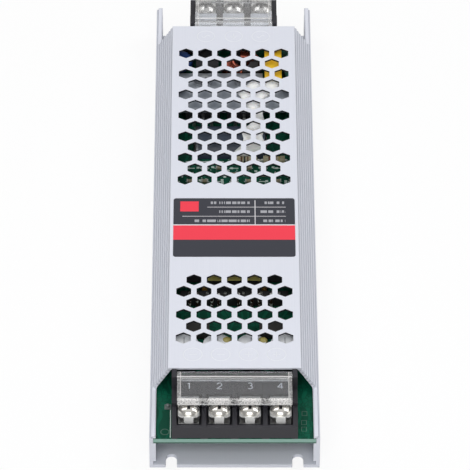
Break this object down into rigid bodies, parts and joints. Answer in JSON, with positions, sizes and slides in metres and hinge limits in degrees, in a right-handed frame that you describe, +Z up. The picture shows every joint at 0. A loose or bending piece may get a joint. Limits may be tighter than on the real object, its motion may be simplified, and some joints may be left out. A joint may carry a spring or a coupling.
{
  "type": "slim led power supply",
  "caption": "Slim LED power supply: fluted aluminium extrusion with a hexagon grille, board inside and a screw terminal block with a hinged clear cover at each end.",
  "frame": {"origin": "middle of the footprint, on the mounting surface", "axes": "+Y along the housing towards the input end, +X across it, +Z up from the mounting surface"},
  "size_m": [0.046, 0.189, 0.0198],
  "materials": {
    "anodised_aluminium": "fine satin anodised finish",
    "label_print": "printed film with dark and red fields",
    "insulation_film": "milky film",
    "board_green": "green solder mask",
    "terminal_plastic": "moulded dark grey plastic",
    "clear_plastic": "clear moulded plastic",
    "plated_steel": "bright nickel plating",
    "tinned_metal": "tinned",
    "ferrite": "dark ferrite",
    "winding_tape": "yellow tape",
    "black_plastic": "black moulding",
    "capacitor_sleeve": "dark shrink sleeve",
    "bare_aluminium": "rolled sheet",
    "black_epoxy": "moulded epoxy",
    "yellow_plastic": "yellow box",
    "enamelled_copper": "lacquered copper wire",
    "blue_coating": "dipped coating",
    "teal_coating": "dipped coating",
    "fuse_body": "sleeved cartridge",
    "resistor_coating": "lacquer with colour bands",
    "clear_lamp": "milky lamp resin",
    "chip_ceramic": "ceramic with tinned ends",
    "white_silicone": "cured silicone",
    "white_card": "blank marker strips"
  },
  "bodies": {
    "root": {"housing": "anodised_aluminium", "rating_label": "label_print", "insulation_sheet": "insulation_film", "circuit_board": "board_green", "output_terminal_base": "terminal_plastic", "output_contacts": "plated_steel", "input_terminal_base": "terminal_plastic", "input_contacts": "plated_steel", "input_marker_strips": "white_card", "transformer_core": "ferrite", "transformer_winding": "winding_tape", "transformer_bobbin": "black_plastic", "transformer_pins": "tinned_metal", "bulk_capacitor": "capacitor_sleeve", "primary_heatsink": "bare_aluminium", "switching_transistors": "black_epoxy", "heatsink_screws": "plated_steel", "x_capacitor": "yellow_plastic", "choke_core": "ferrite", "choke_base": "black_plastic", "choke_windings": "enamelled_copper", "varistor": "blue_coating", "y_capacitors": "teal_coating", "bridge_rectifier": "black_epoxy", "input_fuse": "fuse_body", "power_resistors": "resistor_coating", "output_capacitor_cans": "bare_aluminium", "output_capacitor_bases": "black_plastic", "output_rectifiers": "black_epoxy", "indicator_led": "clear_lamp", "controller_chip": "black_epoxy", "optocoupler": "black_epoxy", "chip_components": "chip_ceramic", "silicone_adhesive": "white_silicone"},
    "output_cover": {"output_terminal_cover": "clear_plastic"},
    "input_cover": {"input_terminal_cover": "clear_plastic"},
    "output_clamp_1": {"output_clamp_1": "plated_steel"},
    "output_screw_1": {"output_screw_1": "plated_steel"},
    "output_clamp_2": {"output_clamp_2": "plated_steel"},
    "output_screw_2": {"output_screw_2": "plated_steel"},
    "output_clamp_3": {"output_clamp_3": "plated_steel"},
    "output_screw_3": {"output_screw_3": "plated_steel"},
    "output_clamp_4": {"output_clamp_4": "plated_steel"},
    "output_screw_4": {"output_screw_4": "plated_steel"},
    "input_clamp_1": {"input_clamp_1": "plated_steel"},
    "input_screw_1": {"input_screw_1": "plated_steel"},
    "input_clamp_2": {"input_clamp_2": "plated_steel"},
    "input_screw_2": {"input_screw_2": "plated_steel"},
    "input_clamp_3": {"input_clamp_3": "plated_steel"},
    "input_screw_3": {"input_screw_3": "plated_steel"}
  },
  "joints": [
    {"name": "output_cover_hinge", "type": "hinge", "parent": "root", "child": "output_cover", "pos_m": [0, -0.078, 0.0185], "axis": [-1, 0, 0], "range_deg": [0, 105]},
    {"name": "input_cover_hinge", "type": "hinge", "parent": "root", "child": "input_cover", "pos_m": [0, 0.078, 0.0185], "axis": [1, 0, 0], "range_deg": [0, 105]},
    {"name": "output_clamp_1_slide", "type": "slide", "parent": "root", "child": "output_clamp_1", "axis": [0, 0, 1], "range_m": [-0.0015, 0]},
    {"name": "output_screw_1_turn", "type": "hinge", "parent": "output_clamp_1", "child": "output_screw_1", "pos_m": [-0.01238, -0.0881, 0.0158], "axis": [0, 0, 1], "range_deg": [-900, 0]},
    {"name": "output_clamp_2_slide", "type": "slide", "parent": "root", "child": "output_clamp_2", "axis": [0, 0, 1], "range_m": [-0.0015, 0]},
    {"name": "output_screw_2_turn", "type": "hinge", "parent": "output_clamp_2", "child": "output_screw_2", "pos_m": [-0.00413, -0.0881, 0.0158], "axis": [0, 0, 1], "range_deg": [-900, 0]},
    {"name": "output_clamp_3_slide", "type": "slide", "parent": "root", "child": "output_clamp_3", "axis": [0, 0, 1], "range_m": [-0.0015, 0]},
    {"name": "output_screw_3_turn", "type": "hinge", "parent": "output_clamp_3", "child": "output_screw_3", "pos_m": [0.00413, -0.0881, 0.0158], "axis": [0, 0, 1], "range_deg": [-900, 0]},
    {"name": "output_clamp_4_slide", "type": "slide", "parent": "root", "child": "output_clamp_4", "axis": [0, 0, 1], "range_m": [-0.0015, 0]},
    {"name": "output_screw_4_turn", "type": "hinge", "parent": "output_clamp_4", "child": "output_screw_4", "pos_m": [0.01238, -0.0881, 0.0158], "axis": [0, 0, 1], "range_deg": [-900, 0]},
    {"name": "input_clamp_1_slide", "type": "slide", "parent": "root", "child": "input_clamp_1", "axis": [0, 0, 1], "range_m": [-0.0015, 0]},
    {"name": "input_screw_1_turn", "type": "hinge", "parent": "input_clamp_1", "child": "input_screw_1", "pos_m": [0.00825, 0.0881, 0.0158], "axis": [0, 0, 1], "range_deg": [-900, 0]},
    {"name": "input_clamp_2_slide", "type": "slide", "parent": "root", "child": "input_clamp_2", "axis": [0, 0, 1], "range_m": [-0.0015, 0]},
    {"name": "input_screw_2_turn", "type": "hinge", "parent": "input_clamp_2", "child": "input_screw_2", "pos_m": [0, 0.0881, 0.0158], "axis": [0, 0, 1], "range_deg": [-900, 0]},
    {"name": "input_clamp_3_slide", "type": "slide", "parent": "root", "child": "input_clamp_3", "axis": [0, 0, 1], "range_m": [-0.0015, 0]},
    {"name": "input_screw_3_turn", "type": "hinge", "parent": "input_clamp_3", "child": "input_screw_3", "pos_m": [-0.00825, 0.0881, 0.0158], "axis": [0, 0, 1], "range_deg": [-900, 0]}
  ],
  "couplings": [
    {"joint": "output_screw_1_turn", "follows": "output_clamp_1_slide", "rad_per_m": 10471},
    {"joint": "output_screw_2_turn", "follows": "output_clamp_2_slide", "rad_per_m": 10471},
    {"joint": "output_screw_3_turn", "follows": "output_clamp_3_slide", "rad_per_m": 10471},
    {"joint": "output_screw_4_turn", "follows": "output_clamp_4_slide", "rad_per_m": 10471},
    {"joint": "input_screw_1_turn", "follows": "input_clamp_1_slide", "rad_per_m": 10471},
    {"joint": "input_screw_2_turn", "follows": "input_clamp_2_slide", "rad_per_m": 10471},
    {"joint": "input_screw_3_turn", "follows": "input_clamp_3_slide", "rad_per_m": 10471}
  ]
}
